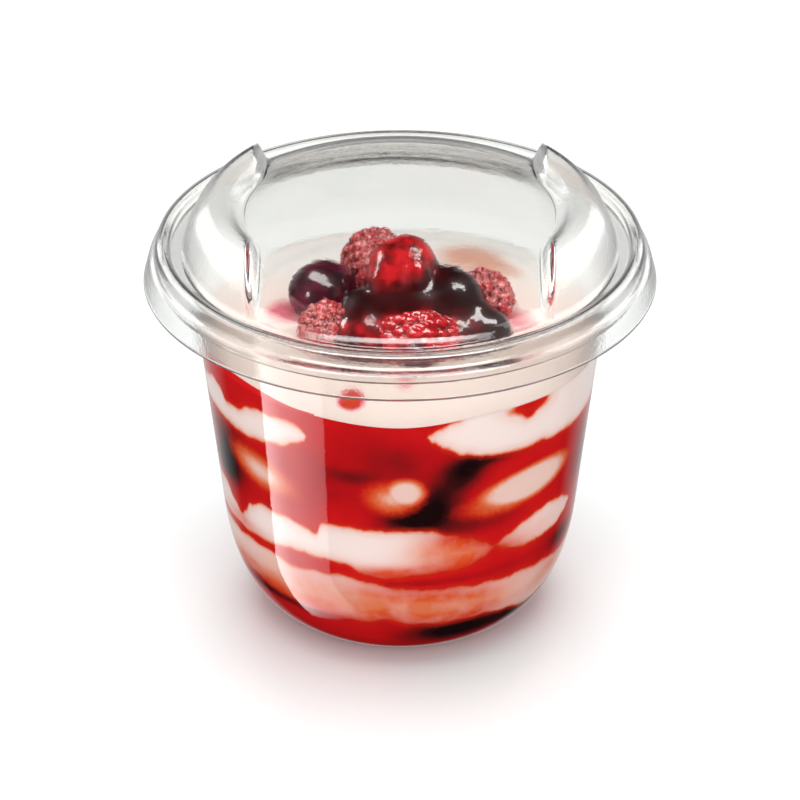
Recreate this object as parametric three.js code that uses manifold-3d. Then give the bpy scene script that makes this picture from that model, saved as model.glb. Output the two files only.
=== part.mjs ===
// A clear plastic dessert cup with its clear lid, filled with cream and red fruit sauce in swirled
// layers and topped with a heap of glazed berries.
// Millimetres, +Z up. The flat foot of the cup stands at z = 0 and its front faces -Y.

import * as THREE from 'three';
import { mergeVertices } from 'three/addons/utils/BufferGeometryUtils.js';
import Module from 'manifold-3d';

const wasm = await Module();
wasm.setup();

// Cup: a flat foot, a rounded heel, a straight wall that widens upwards and a flange with a lip.
const footRadius = 20.5;
const heelRadius = 34.7;
const heelHeight = 21.55;
const wallFlare = 0.1087;
const cupWall = 0.6;
const cupFloor = 0.8;
const flangeTop = 74.7;
const flangeThickness = 0.8;
const flangeRadius = 46.4;
const lipDrop = 2.3;

// Lid: a flat panel, a sloping shoulder, a groove, a bead that grips the cup's rim and a flared skirt.
const lidWall = 0.6;
const panelHeight = 83.8;
const panelRadius = 30;
const grooveHeight = 76.4;
const beadHeight = 78.7;
const beadRadius = 45.2;
const skirtRadius = 49;
const skirtBottom = 70.4;

// Two raised wings on the lid hold the foot of the cup that is stacked on top.
const wingEdge = 26.8;
const wingCrestRadius = 34.65;
const wingCrestHeight = 87.1;
const wingFootRadius = 41.4;

// Space left between two pieces that touch and between two wavy layers, and steps round the axis.
const contactGap = 0.3;
const layerGap = 0.5;
const shellSteps = 42;
const foodSteps = 32;

// Filling: where its top edge meets the wall, and how far the cream rises under the fruit.
const fillHeight = 59.4;
const creamRise = 4;
const creamRimThickness = 1;

// Heights of the borders between the layers at the wall, as pairs of azimuth and height.
// Azimuth is in degrees from the front, growing towards +X.
const bottomSauceEdge = [
  [-120, 11.5], [-58, 13.5], [-30, 12.2], [-5, 11.2], [28, 10.8], [50, 8.8], [120, 12], [180, 14],
];
const peachCreamEdge = [
  [-120, 20.5], [-75, 22], [-35, 22.2], [-18, 23.6], [0, 21.2], [32, 19.2], [62, 18.5], [110, 21],
  [180, 23],
];
const lowerSauceEdge = [
  [-120, 23.5], [-75, 23.8], [-35, 24.2], [-18, 25.2], [-9, 23.8], [15, 24.5], [30, 22.4], [42, 24.7],
  [62, 24.6], [110, 26], [180, 25.2],
];
const middleCreamEdge = [
  [-120, 33], [-75, 32.2], [-62, 29.4], [-43, 33.6], [-30, 32.4], [-12, 35], [8, 34.5], [30, 28.8],
  [50, 32], [66, 29.4], [120, 34], [180, 31],
];
const fillEdge = [
  [-120, 59.8], [-55, 60.2], [-28, 59.4], [0, 58.6], [25, 59.6], [60, 58.8], [120, 60], [180, 59.2],
];

// Folds of cream that show in the sauce: centre and half span in degrees round the wall, height,
// rise for each degree, half height, and depth from the wall.
const creamFolds = [
  { name: 'upper_cream_left', azimuth: -89, span: 61, height: 51.6, tilt: 0.04, tall: 3.9, deep: 11 },
  { name: 'upper_cream_right', azimuth: 74, span: 66, height: 53.4, tilt: -0.02, tall: 5.6, deep: 12 },
  { name: 'cream_fold_left', azimuth: -46, span: 10, height: 41.7, tilt: 0, tall: 3.9, deep: 7 },
  { name: 'cream_fold_centre', azimuth: -1, span: 7.5, height: 43.5, tilt: 0, tall: 3.2, deep: 5 },
  { name: 'cream_fold_right', azimuth: 42, span: 19, height: 39.9, tilt: 0, tall: 4.1, deep: 9 },
  { name: 'cream_fold_back', azimuth: -176, span: 30, height: 41.2, tilt: 0.03, tall: 4, deep: 9 },
];

// Fruit of the heap: centre, half sizes along X, Y and Z, and the tilt of its long axis.
const raspberries = [
  { name: 'raspberry_top', at: [-1.2, -1.5, 71], half: [7.4, 7.2, 7.4], turn: 0.1 },
  { name: 'raspberry_back', at: [-4.9, 7.6, 68], half: [7.2, 6.6, 7.2], turn: -0.2 },
  { name: 'raspberry_right', at: [16.2, 0, 64.7], half: [6.4, 6.2, 5.8], turn: 0.6 },
  { name: 'raspberry_left', at: [-13.5, -12, 65], half: [6, 5.8, 5.6], turn: 0.4 },
  { name: 'raspberry_front', at: [3.5, -15.5, 64.8], half: [9, 6.2, 6], turn: 0 },
];
const darkBerries = [
  { name: 'dark_berry_left', at: [-14.4, -1.6, 67], half: [6.85, 6.4, 6] },
  { name: 'dark_berry_right', at: [11, -6.6, 66.4], half: [5.9, 5.7, 5.6] },
  { name: 'dark_berry_front', at: [3.6, -20.4, 63.6], half: [3.7, 3.5, 3.4] },
  { name: 'dark_berry_back', at: [1, 9.8, 64], half: [5.6, 5.6, 5.3] },
];
const drupeletCount = 26;
const drupeletRelief = 0.14;

// Sauce poured over the middle of the heap.
const sauceCentre = [3, -7.5, 62.8];
const sauceHalf = [17.5, 15, 6.6];
const sauceSink = 2.2;

// Colours of the real materials.
const clearPlastic = new THREE.Color('#e9e6e4');
const sauceRed = new THREE.Color('#b3131a');
const sauceDark = new THREE.Color('#5d0d16');
const creamWhite = new THREE.Color('#f2dfd8');
const creamPeach = new THREE.Color('#e58a66');
const raspberryRed = new THREE.Color('#a81d2c');
const berryDark = new THREE.Color('#3a0f18');

const radians = THREE.MathUtils.degToRad;

// Joins the points that a geometry class repeats along its seams and drops faces with no area.
function weld(geometry) {
  const bare = geometry.clone();
  bare.deleteAttribute('normal');
  bare.deleteAttribute('uv');
  const merged = mergeVertices(bare, 1e-4);
  const corners = merged.index.array;
  const kept = [];
  for (let i = 0; i < corners.length; i += 3) {
    const [a, b, c] = [corners[i], corners[i + 1], corners[i + 2]];
    if (a !== b && b !== c && c !== a) {
      kept.push(a, b, c);
    }
  }
  merged.setIndex(kept);
  return merged;
}

// A solid for cutting and joining, from a closed geometry.
function solidOf(geometry) {
  const closed = weld(geometry);
  return new wasm.Manifold(new wasm.Mesh({
    numProp: 3,
    vertProperties: new Float32Array(closed.attributes.position.array),
    triVerts: new Uint32Array(closed.index.array),
  }));
}

// The largest single body of a cut solid, as geometry.
function geometryOf(solid) {
  const bodies = solid.decompose().sort((a, b) => b.volume() - a.volume());
  const mesh = bodies[0].getMesh();
  const geometry = new THREE.BufferGeometry();
  geometry.setAttribute('position', new THREE.BufferAttribute(new Float32Array(mesh.vertProperties), 3));
  geometry.setIndex(new THREE.BufferAttribute(new Uint32Array(mesh.triVerts), 1));
  geometry.computeVertexNormals();
  return geometry;
}

// A solid of revolution about +Z. The seam faces -Y and the angle grows towards +X.
function revolve(points, steps) {
  const profile = points.map(([radius, height]) => new THREE.Vector2(radius, height));
  return new THREE.LatheGeometry(profile, steps).rotateX(Math.PI / 2);
}

// The rounded heel between foot and wall, moved inwards and upwards for the inside.
function heelCurve(inset, lift) {
  return new THREE.CubicBezierCurve(
    new THREE.Vector2(footRadius - inset, lift),
    new THREE.Vector2(28.45 - inset, lift),
    new THREE.Vector2(33.4 - inset, 9.5 + lift / 2),
    new THREE.Vector2(heelRadius - inset, heelHeight),
  );
}

function wallRadius(height, inset) {
  return heelRadius + (height - heelHeight) * wallFlare - inset;
}

function cup() {
  const heelSteps = 5;
  const outerHeel = heelCurve(0, 0).getPoints(heelSteps).map((p) => [p.x, p.y]);
  const innerHeel = heelCurve(cupWall, cupFloor).getPoints(heelSteps).map((p) => [p.x, p.y]);
  const underFlange = flangeTop - flangeThickness;
  const lipInside = flangeRadius - flangeThickness;
  return revolve([
    [0, 0],
    ...outerHeel,
    [wallRadius(underFlange, 0), underFlange],
    [lipInside, underFlange],
    [lipInside, flangeTop - lipDrop],
    [flangeRadius, flangeTop - lipDrop],
    [flangeRadius, flangeTop],
    [wallRadius(flangeTop, cupWall), flangeTop],
    ...innerHeel.reverse(),
    [0, cupFloor],
  ], shellSteps);
}

// The lid where it has no wing, as a solid down to the foot of its skirt.
function lidBody(inset) {
  const drop = inset > 0 ? 1 : 0;
  return revolve([
    [0, skirtBottom - drop],
    [skirtRadius - inset, skirtBottom - drop],
    [skirtRadius - inset, skirtBottom],
    [48 - inset, 74.4 - inset / 2],
    [46.9 - inset, 75.6 - inset],
    [46.5 - inset, 77.4 - inset / 2],
    [beadRadius, beadHeight - inset],
    [43.7 + inset, grooveHeight - inset],
    [41.3 - inset / 2, grooveHeight - inset],
    [40 - inset, 79.3 - inset / 2],
    [38 - inset / 2, 81 - inset],
    [34 - inset / 3, 83 - inset],
    [panelRadius, panelHeight - inset],
    [0, panelHeight - inset],
  ], shellSteps);
}

// A full ring with the section of a wing, from which the two wings are cut.
function wingRing(inset) {
  const foot = grooveHeight - 1 - inset;
  const inner = panelRadius + inset;
  const outer = wingFootRadius - inset;
  return revolve([
    [inner, foot],
    [outer, foot],
    [outer, grooveHeight + 0.8],
    [39.8 - inset, 81.6],
    [37.3 - inset * 0.7, 85.6 - inset * 0.7],
    [wingCrestRadius, wingCrestHeight - inset],
    [31.9 + inset * 0.6, 86 - inset * 0.8],
    [30.5 + inset, 84.2 - inset * 0.3],
    [inner, foot],
  ], shellSteps);
}

// The two blocks left and right of the recess, which keep the wings and drop the rest of the ring.
function besideRecess(inset) {
  const reach = 60;
  const width = reach - wingEdge - inset;
  const block = new THREE.BoxGeometry(width, 2 * reach, reach);
  const middle = wingEdge + inset + width / 2;
  const left = solidOf(block.clone().translate(-middle, 0, panelHeight));
  const right = solidOf(block.clone().translate(middle, 0, panelHeight));
  return left.add(right);
}

function lidForm(inset) {
  const wings = solidOf(wingRing(inset)).intersect(besideRecess(inset));
  return solidOf(lidBody(inset)).add(wings);
}

function lid() {
  return geometryOf(lidForm(0).subtract(lidForm(lidWall)));
}

// Height at an azimuth, smoothly between the pairs of an edge that closes on itself.
function edgeHeight(edge, azimuth) {
  const turned = edge.map(([a, h]) => [a < azimuth ? a + 360 : a, h]).sort((p, q) => p[0] - q[0]);
  const next = turned[0];
  const last = turned[turned.length - 1];
  const before = [last[0] - 360, last[1]];
  const share = (azimuth - before[0]) / (next[0] - before[0]);
  return THREE.MathUtils.lerp(before[1], next[1], THREE.MathUtils.smoothstep(share, 0, 1));
}

function meanHeight(edge) {
  return edge.reduce((sum, pair) => sum + pair[1], 0) / edge.length;
}

// Radius of the filling, a contact gap inside the cup's wall.
const foodInset = cupWall + contactGap;
const foodFloor = cupFloor + contactGap;
const foodHeel = heelCurve(foodInset, foodFloor).getPoints(40);

function foodRadius(height) {
  if (height >= heelHeight) {
    return wallRadius(height, foodInset);
  }
  const above = Math.max(foodHeel.findIndex((p) => p.y >= height), 1);
  const [low, high] = [foodHeel[above - 1], foodHeel[above]];
  const share = THREE.MathUtils.clamp((height - low.y) / (high.y - low.y), 0, 1);
  return THREE.MathUtils.lerp(low.x, high.x, share);
}

// A border between layers: its full waves at the wall, calming down towards the middle.
function border(edge, lift) {
  const middle = meanHeight(edge);
  return (share, azimuth) => middle + (edgeHeight(edge, azimuth) - middle) * share ** 2 + lift;
}

// A layer that runs through the filling between two borders, each a function of the share of the
// radius and of the azimuth.
function layer(lower, upper, sideSteps) {
  const unit = [[0, 0], [0.6, 0], [1, 0]];
  for (let step = 1; step < sideSteps; step += 1) {
    unit.push([1, step / sideSteps]);
  }
  unit.push([1, 1], [0.6, 1], [0, 1]);
  const geometry = weld(revolve(unit, foodSteps));
  const place = geometry.attributes.position;
  for (let i = 0; i < place.count; i += 1) {
    const share = Math.hypot(place.getX(i), place.getY(i));
    const level = place.getZ(i);
    const azimuth = Math.atan2(place.getX(i), -place.getY(i));
    const degrees = THREE.MathUtils.radToDeg(azimuth);
    const bottom = lower(share, degrees);
    const height = bottom + (upper(share, degrees) - bottom) * level;
    const radius = share * foodRadius(height);
    place.setXYZ(i, radius * Math.sin(azimuth), -radius * Math.cos(azimuth), height);
  }
  return geometry;
}

// An ellipsoid bent round the wall, with its middle on the wall.
function foldForm(fold, grow) {
  const ball = weld(new THREE.SphereGeometry(1, fold.span > 40 ? 20 : 12, 6));
  const place = ball.attributes.position;
  const growDegrees = THREE.MathUtils.radToDeg(grow / foodRadius(fold.height));
  for (let i = 0; i < place.count; i += 1) {
    const [along, inward, up] = [place.getX(i), place.getY(i), place.getZ(i)];
    const azimuth = radians(fold.azimuth + (fold.span + growDegrees) * along);
    const height = fold.height + fold.tilt * fold.span * along + (fold.tall + grow) * up;
    const radius = foodRadius(height) - (fold.deep + grow) * inward;
    place.setXYZ(i, radius * Math.sin(azimuth), -radius * Math.cos(azimuth), height);
  }
  return solidOf(ball);
}

// The cream's surface: a ring that lies at the wall and a soft mound under the fruit.
function creamSurface(share, azimuth) {
  const edge = edgeHeight(fillEdge, azimuth);
  const mound = creamRise * THREE.MathUtils.smoothstep(1 - share, 0, 0.42);
  const folds = 0.5 * Math.sin(radians(3 * azimuth + 40)) * share * (1 - share) * 4;
  return edge + (fillHeight - edge) * (1 - share) + mound + folds;
}

// Directions spread evenly over a ball, one for each drupelet of a raspberry.
function drupeletDirections() {
  const directions = [];
  for (let i = 0; i < drupeletCount; i += 1) {
    const up = 1 - (2 * i + 1) / drupeletCount;
    const turn = i * Math.PI * (3 - Math.sqrt(5));
    const out = Math.sqrt(1 - up * up);
    directions.push(new THREE.Vector3(out * Math.cos(turn), out * Math.sin(turn), up));
  }
  return directions;
}

function berryForm(berry, relief, grow) {
  const ball = weld(new THREE.IcosahedronGeometry(1, relief ? 3 : 2));
  const place = ball.attributes.position;
  const directions = relief ? drupeletDirections() : [];
  const spacing = Math.sqrt(4 * Math.PI / drupeletCount) / 2;
  const point = new THREE.Vector3();
  for (let i = 0; i < place.count; i += 1) {
    point.fromBufferAttribute(place, i).normalize();
    const nearest = Math.min(...directions.map((d) => d.angleTo(point)), spacing);
    const swell = relief ? 1 - drupeletRelief * (nearest / spacing) ** 2 : 1;
    place.setXYZ(
      i,
      point.x * (berry.half[0] * swell + grow),
      point.y * (berry.half[1] * swell + grow),
      point.z * (berry.half[2] * swell + grow),
    );
  }
  ball.rotateY(berry.turn ?? 0);
  ball.translate(...berry.at);
  return solidOf(ball);
}

// Sauce poured over the heap: a rounded cap with a flatter underside and a wavy outline.
function sauceForm(grow) {
  const ball = weld(new THREE.SphereGeometry(1, 20, 7).rotateX(Math.PI / 2));
  const place = ball.attributes.position;
  for (let i = 0; i < place.count; i += 1) {
    const [x, y, z] = [place.getX(i), place.getY(i), place.getZ(i)];
    const wave = 1 + 0.07 * Math.sin(5 * Math.atan2(y, x) + 0.6) * Math.hypot(x, y);
    place.setXYZ(
      i,
      sauceCentre[0] + x * (sauceHalf[0] * wave + grow),
      sauceCentre[1] + y * (sauceHalf[1] * wave + grow),
      sauceCentre[2] + z * ((z > 0 ? sauceHalf[2] : sauceSink) + grow),
    );
  }
  return solidOf(ball);
}

const dessertCup = new THREE.Group();

function addPiece(name, geometry, color, roughness, more = {}) {
  const finish = new THREE.MeshStandardMaterial({ color, roughness, metalness: 0, ...more });
  const mesh = new THREE.Mesh(geometry, finish);
  mesh.name = name;
  dessertCup.add(mesh);
}

function addShells() {
  const seeThrough = { transparent: true, opacity: 0.3 };
  addPiece('cup', weld(cup()), clearPlastic, 0.08, seeThrough);
  addPiece('lid', lid(), clearPlastic, 0.08, seeThrough);
}

function addLayers() {
  const floor = () => foodFloor;
  const rimUnderside = border(fillEdge, -creamRimThickness);
  const filling = solidOf(layer(floor, rimUnderside, 9));
  const stack = [
    ['bottom_sauce', floor, border(bottomSauceEdge, 0), sauceDark, 5],
    ['peach_cream', border(bottomSauceEdge, layerGap), border(peachCreamEdge, 0), creamPeach, 3],
    ['lower_sauce', border(peachCreamEdge, layerGap), border(lowerSauceEdge, 0), sauceRed, 1],
    ['middle_cream', border(lowerSauceEdge, layerGap), border(middleCreamEdge, 0), creamWhite, 1],
  ];
  for (const [name, lower, upper, color, sideSteps] of stack) {
    addPiece(name, layer(lower, upper, sideSteps), color, 0.35);
  }
  let sauce = solidOf(layer(border(middleCreamEdge, layerGap), rimUnderside, 2));
  for (const fold of creamFolds) {
    addPiece(fold.name, geometryOf(foldForm(fold, 0).intersect(filling)), creamWhite, 0.4);
    sauce = sauce.subtract(foldForm(fold, contactGap));
  }
  addPiece('middle_sauce', geometryOf(sauce), sauceRed, 0.2);
}

// Each fruit gives way to those placed before it, the sauce to the fruit, and the cream to both.
function addToppings() {
  const fruit = [
    ...darkBerries.map((berry) => ({ ...berry, relief: false, color: berryDark })),
    ...raspberries.map((berry) => ({ ...berry, relief: true, color: raspberryRed })),
  ];
  let taken = null;
  for (const berry of fruit) {
    const whole = berryForm(berry, berry.relief, 0);
    addPiece(berry.name, geometryOf(taken ? whole.subtract(taken) : whole), berry.color, 0.25);
    const around = berryForm(berry, false, contactGap);
    taken = taken ? taken.add(around) : around;
  }
  addPiece('fruit_sauce', geometryOf(sauceForm(0).subtract(taken)), sauceDark, 0.1);
  const cream = solidOf(layer(border(fillEdge, contactGap - creamRimThickness), creamSurface, 1));
  const bedded = cream.subtract(taken).subtract(sauceForm(contactGap));
  addPiece('top_cream', geometryOf(bedded), creamWhite, 0.4);
}

addShells();
addLayers();
addToppings();

export default dessertCup;
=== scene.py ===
# %% [markdown]
# This script dresses a clear plastic dessert cup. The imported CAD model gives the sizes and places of
# the cup, its lid and the food, and Blender gives them smooth walls, wet fruit and swirled cream.
# Everything is in metres in one shared frame: the foot stands at height 0 and the front faces -Y.

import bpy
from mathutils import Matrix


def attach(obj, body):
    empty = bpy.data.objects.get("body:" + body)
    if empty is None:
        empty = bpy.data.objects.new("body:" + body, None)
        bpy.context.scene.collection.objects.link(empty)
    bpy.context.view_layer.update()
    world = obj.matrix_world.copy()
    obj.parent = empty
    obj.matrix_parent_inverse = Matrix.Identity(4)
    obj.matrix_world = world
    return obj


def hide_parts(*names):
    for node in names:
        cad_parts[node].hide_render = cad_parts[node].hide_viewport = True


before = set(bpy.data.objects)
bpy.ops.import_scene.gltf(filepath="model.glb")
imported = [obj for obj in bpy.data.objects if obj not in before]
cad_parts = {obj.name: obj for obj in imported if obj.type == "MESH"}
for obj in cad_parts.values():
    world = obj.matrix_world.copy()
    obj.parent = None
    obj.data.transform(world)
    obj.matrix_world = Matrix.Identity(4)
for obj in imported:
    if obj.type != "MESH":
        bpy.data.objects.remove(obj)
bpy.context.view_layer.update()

from functools import partial
from math import cos, pi, sin, sqrt

import bpy
import numpy as np
from mathutils import Matrix, Vector, noise

scene = bpy.context.scene
print("CAD nodes:", len(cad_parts))

# %% [markdown]
# An operator acts on all that is selected, so a piece is always picked alone before it is edited.
# Sizes are written in millimetres, as a maker would, and turned to metres in one place.

# %% Small helpers for picking and finishing pieces
MM = 0.001


def eased(share):
    """A share from 0 to 1 with a soft start and a soft end."""
    return share * share * (3 - 2 * share)


def radius_of(points):
    """How far points lie from the cup's axis."""
    return np.hypot(points[:, 0], points[:, 1])


def pick(*pieces):
    """Selects these pieces alone, the first one active."""
    if bpy.context.object and bpy.context.object.mode != "OBJECT":
        bpy.ops.object.mode_set(mode="OBJECT")
    bpy.ops.object.select_all(action="DESELECT")
    for piece in pieces:
        piece.select_set(True)
    bpy.context.view_layer.objects.active = pieces[0]


def settle(piece, name):
    """Names a finished piece and moves its place into its mesh."""
    pick(piece)
    bpy.ops.object.transform_apply(location=True, rotation=True, scale=True)
    piece.name = name
    piece.data.name = name
    print(name, "has", len(piece.data.polygons), "faces")
    return piece


def points_of(piece):
    """The vertices of a piece as an array, in millimetres."""
    flat = np.zeros(len(piece.data.vertices) * 3)
    piece.data.vertices.foreach_get("co", flat)
    return flat.reshape(-1, 3) / MM


def move_points(piece, points):
    """Writes back an array of vertices, in millimetres."""
    piece.data.vertices.foreach_set("co", (points * MM).ravel())
    piece.data.update()


# %% [markdown]
# The cup and the lid are formed from one sheet over a round mould, so each is a turned section.
# The section is drawn as a chain of extruded points and spun about the axis. Drawing both faces of
# the sheet at once keeps the wall even, which a thickness modifier doesn't do in tight grooves.

# %% Spin a closed section into a shell
def spin_section(section, steps):
    """A solid of revolution from a section that starts and ends on the axis, in millimetres."""
    bpy.ops.mesh.primitive_plane_add(size=MM, location=(0, 0, 0))
    shell = bpy.context.object
    bpy.ops.object.mode_set(mode="EDIT")
    bpy.ops.mesh.select_all(action="SELECT")
    bpy.ops.mesh.merge(type="CENTER")
    start_radius, start_height = section[0]
    bpy.ops.transform.translate(value=(start_radius * MM, 0, start_height * MM))
    for (r0, z0), (r1, z1) in zip(section, section[1:]):
        step = ((r1 - r0) * MM, 0, (z1 - z0) * MM)
        bpy.ops.mesh.extrude_region_move(TRANSFORM_OT_translate={"value": step})
    bpy.ops.mesh.select_all(action="SELECT")
    bpy.ops.mesh.spin(steps=steps, angle=2 * pi, center=(0, 0, 0), axis=(0, 0, 1))
    bpy.ops.mesh.select_all(action="SELECT")
    bpy.ops.mesh.remove_doubles(threshold=0.002 * MM)
    bpy.ops.mesh.normals_make_consistent(inside=False)
    bpy.ops.mesh.faces_shade_smooth()
    bpy.ops.object.mode_set(mode="OBJECT")
    return shell


def round_corners(corners, steps=5):
    """Points of a section whose corners (radius, height, rounding) are turned into arcs."""
    points = []
    for i, (r, z, rounding) in enumerate(corners):
        corner = np.array((r, z), float)
        if rounding == 0:
            points.append(corner)
            continue
        before = np.array(corners[i - 1][:2], float) - corner
        after = np.array(corners[i + 1][:2], float) - corner
        before *= min(rounding, 0.49 * np.linalg.norm(before)) / np.linalg.norm(before)
        after *= min(rounding, 0.49 * np.linalg.norm(after)) / np.linalg.norm(after)
        for t in np.linspace(0, 1, steps):
            points.append(corner + before * (1 - t) ** 2 + after * t**2)
    return [tuple(p) for p in points]


def smooth_line(points, spacing):
    """A curve through all the points, sampled about every spacing."""
    chain = [np.array(p, float) for p in points]
    chain = [2 * chain[0] - chain[1], *chain, 2 * chain[-1] - chain[-2]]
    line = []
    for a, b, c, d in zip(chain, chain[1:], chain[2:], chain[3:]):
        for t in np.arange(0, 1, 1 / max(1, round(np.linalg.norm(c - b) / spacing))):
            line.append(
                b + 0.5 * t * (c - a) + t**2 * (a - 2.5 * b + 2 * c - 0.5 * d)
                + t**3 * (1.5 * b - 0.5 * a - 1.5 * c + 0.5 * d)
            )
    line.append(chain[-2])
    return [tuple(p) for p in line]


# %% [markdown]
# The cup stands on a flat foot. A rounded heel leads to a straight wall that widens by six degrees,
# so that cups can be pulled off the mould and nest. The rim ends in a flange with a turned lip.
# The heel is one curve between foot and wall, and the same curve moved inwards gives the inside.

# %% Model the cup
TURN_STEPS = 160
CUP_WALL = 0.6
CUP_FLOOR = 0.8
FOOT_RADIUS = 20.5
HEEL_RADIUS, HEEL_HEIGHT = 34.7, 21.55
# Two handles bend the heel: how far out the first is, and how far out and up the second is
FOOT_HANDLE, WALL_HANDLE = 28.45, (33.4, 9.5)
HEEL_STEPS = 20
WALL_FLARE = 0.1087
FLANGE_TOP, FLANGE_RADIUS, FLANGE_THICKNESS = 74.7, 46.4, 0.8
LIP_DROP = 2.3


def wall_radius(height, inset=0.0):
    return HEEL_RADIUS + (height - HEEL_HEIGHT) * WALL_FLARE - inset


def heel_line(inset, lift, steps):
    """The rounded heel from the foot up to the wall."""
    a = np.array((FOOT_RADIUS - inset, lift))
    b = np.array((FOOT_HANDLE - inset, lift))
    c = np.array((WALL_HANDLE[0] - inset, WALL_HANDLE[1] + lift / 2))
    d = np.array((HEEL_RADIUS - inset, HEEL_HEIGHT))
    return [
        tuple(a * (1 - t) ** 3 + 3 * b * t * (1 - t) ** 2 + 3 * c * t**2 * (1 - t) + d * t**3)
        for t in np.linspace(0, 1, steps)
    ]


def cup_section():
    under = FLANGE_TOP - FLANGE_THICKNESS
    lip_inside = FLANGE_RADIUS - FLANGE_THICKNESS
    lip_end = FLANGE_TOP - LIP_DROP
    wall_start = HEEL_HEIGHT + 1
    flange = round_corners([
        (wall_radius(wall_start), wall_start, 0),
        (wall_radius(under), under, 1.0),
        (lip_inside, under, 0.5),
        (lip_inside, lip_end, 0.2),
        (FLANGE_RADIUS, lip_end, 0.3),
        (FLANGE_RADIUS, FLANGE_TOP, 0.9),
        (wall_radius(FLANGE_TOP, CUP_WALL), FLANGE_TOP, 1.2),
        (wall_radius(wall_start, CUP_WALL), wall_start, 0),
    ])
    outer = heel_line(0, 0, HEEL_STEPS)
    inner = heel_line(CUP_WALL, CUP_FLOOR, HEEL_STEPS)
    return [(0, 0), *outer, *flange, *inner[::-1], (0, CUP_FLOOR)]


cup = settle(spin_section(cup_section(), TURN_STEPS), "clear_cup")

# %% [markdown]
# The lid is a flat panel with a sloping shoulder, a groove, a bead that grips the flange, and a
# flared skirt. Two wings stand up left and right of a recess that holds the foot of the next cup.
# The plain lid is spun first. Cuts along the ends of the wings give rows of points there, and the
# points between are then lifted onto the wing's own section, so the sheet stays in one piece.

# %% Model the lid
LID_WALL = 0.6
PANEL_RADIUS, PANEL_HEIGHT = 24.0, 83.8
PANEL_RINGS = (0, 8, 16, 22)
SHOULDER = [
    (27, 83.73), (30, 83.46), (32, 83.12), (34, 82.62), (36, 81.92), (38, 80.85), (39.8, 79.35),
    (40.9, 77.7),
]
GROOVE = [(41.3, 76.7), (41.9, 76.4), (43.1, 76.4), (43.6, 76.75)]
BEAD = [(44.0, 78.0), (45.2, 78.7), (46.3, 77.9), (46.8, 76.2)]
SKIRT = [(47.3, 75.4), (47.8, 74.6), (48.2, 73.4), (49, 70.4)]
WING = [
    (29.6, 83.5), (30.6, 84.3), (31.9, 86), (33.2, 86.85), (34.65, 87.1), (36, 86.75),
    (37.3, 85.6), (38.6, 83.9), (39.8, 81.6), (40.8, 78.9), (41.5, 76.6),
]
# Each wing ends this far from the middle, and turns up over a strip this wide, cut into rows
WING_EDGE = 26.8
WING_DRAFT = 2.2
LIFT_ROWS = 11
# The wings rise from the shoulder, which ends at the groove
SHOULDER_START, GROOVE_START = 27, 41.6
SAME_FACE = 0.12
# Where ripples begin and where they are full: by radius for rim and shoulder, by width for the wings
RIM_RIPPLES, SHOULDER_RIPPLES, WING_RIPPLES = (40, 41.5), (26, 29), (WING_EDGE - 3.5, WING_EDGE - 0.5)


def offset_line(line, distance):
    """The line moved to its right-hand side, which is the inside of the sheet."""
    points = np.array(line)
    along = np.gradient(points, axis=0)
    along /= np.linalg.norm(along, axis=1)[:, None]
    return points + distance * np.column_stack((along[:, 1], -along[:, 0]))


lid_outer = smooth_line([(PANEL_RADIUS, PANEL_HEIGHT), *SHOULDER, *GROOVE, *BEAD, *SKIRT], 0.45)
lid_inner = [tuple(p) for p in offset_line(lid_outer, LID_WALL)]
wing_outer = np.array(smooth_line(WING, 0.2))
wing_inner = offset_line(wing_outer, LID_WALL)
print("lid section has", len(lid_outer), "points on each face")

panel_rings = [(r, PANEL_HEIGHT) for r in PANEL_RINGS]
under_rings = [(r, PANEL_HEIGHT - LID_WALL) for r in PANEL_RINGS[::-1]]
lid = spin_section([*panel_rings, *lid_outer, *lid_inner[::-1], *under_rings], TURN_STEPS)


def cut_wing_ends(piece):
    """Cuts rows of points along both ends of each wing, where the sheet has to turn upwards."""
    pick(piece)
    bpy.ops.object.mode_set(mode="EDIT")
    strip_start, strip_end = WING_EDGE - WING_DRAFT / 2, WING_EDGE + WING_DRAFT / 2 + LID_WALL
    for side in (-1, 1):
        for x in np.linspace(strip_start, strip_end, LIFT_ROWS):
            bpy.ops.mesh.select_all(action="SELECT")
            bpy.ops.mesh.bisect(plane_co=(side * x * MM, 0, 0), plane_no=(1, 0, 0))
    bpy.ops.object.mode_set(mode="OBJECT")


def lift_wings(piece):
    """Raises the points beside the recess onto the wings' section."""
    points = points_of(piece)
    radius = radius_of(points)
    for line, wing, inset in ((lid_outer, wing_outer, 0.0), (lid_inner, wing_inner, LID_WALL)):
        near = np.array(sorted(point for point in line if point[0] < GROOVE_START))
        height = np.interp(radius, near[:, 0], near[:, 1], left=PANEL_HEIGHT - inset)
        on_face = abs(points[:, 2] - height) < SAME_FACE
        on_face &= (radius < GROOVE_START + 0.1) & (radius > SHOULDER_START)
        raised = np.interp(radius, wing[:, 0], wing[:, 1], left=-1, right=-1)
        share = np.clip((abs(points[:, 0]) - inset - WING_EDGE) / WING_DRAFT + 0.5, 0, 1)
        lift = np.maximum(raised - points[:, 2], 0) * eased(share) * on_face
        points[:, 2] += lift
        print("lifted", int((lift > 0).sum()), "points")
    move_points(piece, points)


def add_numbers(piece, name, values):
    """Stores one number for each point under a name that materials can read."""
    layer = piece.data.attributes.new(name, "FLOAT", "POINT")
    layer.data.foreach_set("value", np.asarray(values, np.float32))


def rippled_share(piece):
    """How rippled the sheet is: wings and rim were stretched, while the panel stayed flat."""
    points = points_of(piece)
    radius = radius_of(points)
    rim = np.interp(radius, RIM_RIPPLES, (0, 1))
    beside = np.interp(abs(points[:, 0]), WING_RIPPLES, (0, 1))
    outside = np.interp(radius, SHOULDER_RIPPLES, (0, 1))
    return np.maximum(rim, beside * outside)


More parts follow.
